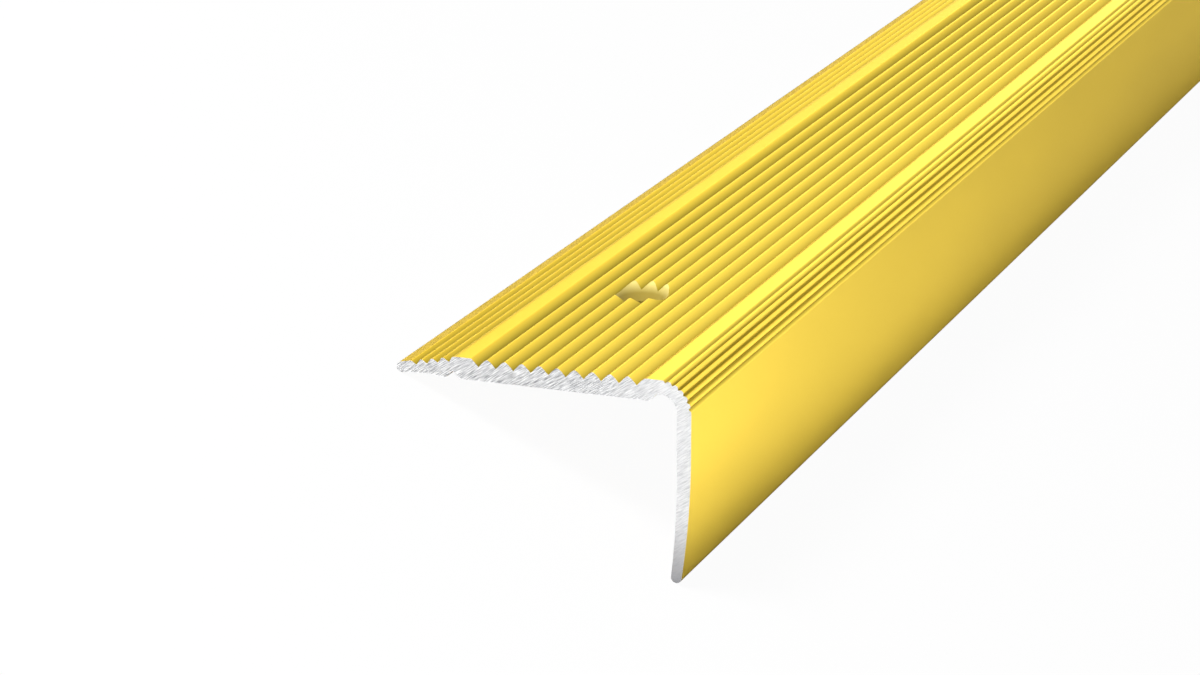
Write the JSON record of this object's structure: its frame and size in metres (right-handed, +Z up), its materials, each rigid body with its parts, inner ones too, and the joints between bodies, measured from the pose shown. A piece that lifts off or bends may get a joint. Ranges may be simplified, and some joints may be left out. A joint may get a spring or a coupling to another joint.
{
  "type": "stair nosing",
  "caption": "Extruded angle strip for a stair edge: grooved tread flange with countersunk screw holes, ribbed round nose, thin sloping back lip and a riser flange that curves in.",
  "frame": {"origin": "on the floor, half way between the two flange tips that the strip rests on, at mid-length", "axes": "+Y along the strip, +Z up as it lies unheld on its flange tips, +X from the back lip's tip to the riser flange's tip"},
  "size_m": [0.048, 1, 0.0232],
  "materials": {
    "gold_anodised": "satin gold anodised, bare metal at the sawn ends"
  },
  "bodies": {
    "root": {"nosing_profile": "gold_anodised"}
  },
  "joints": []
}
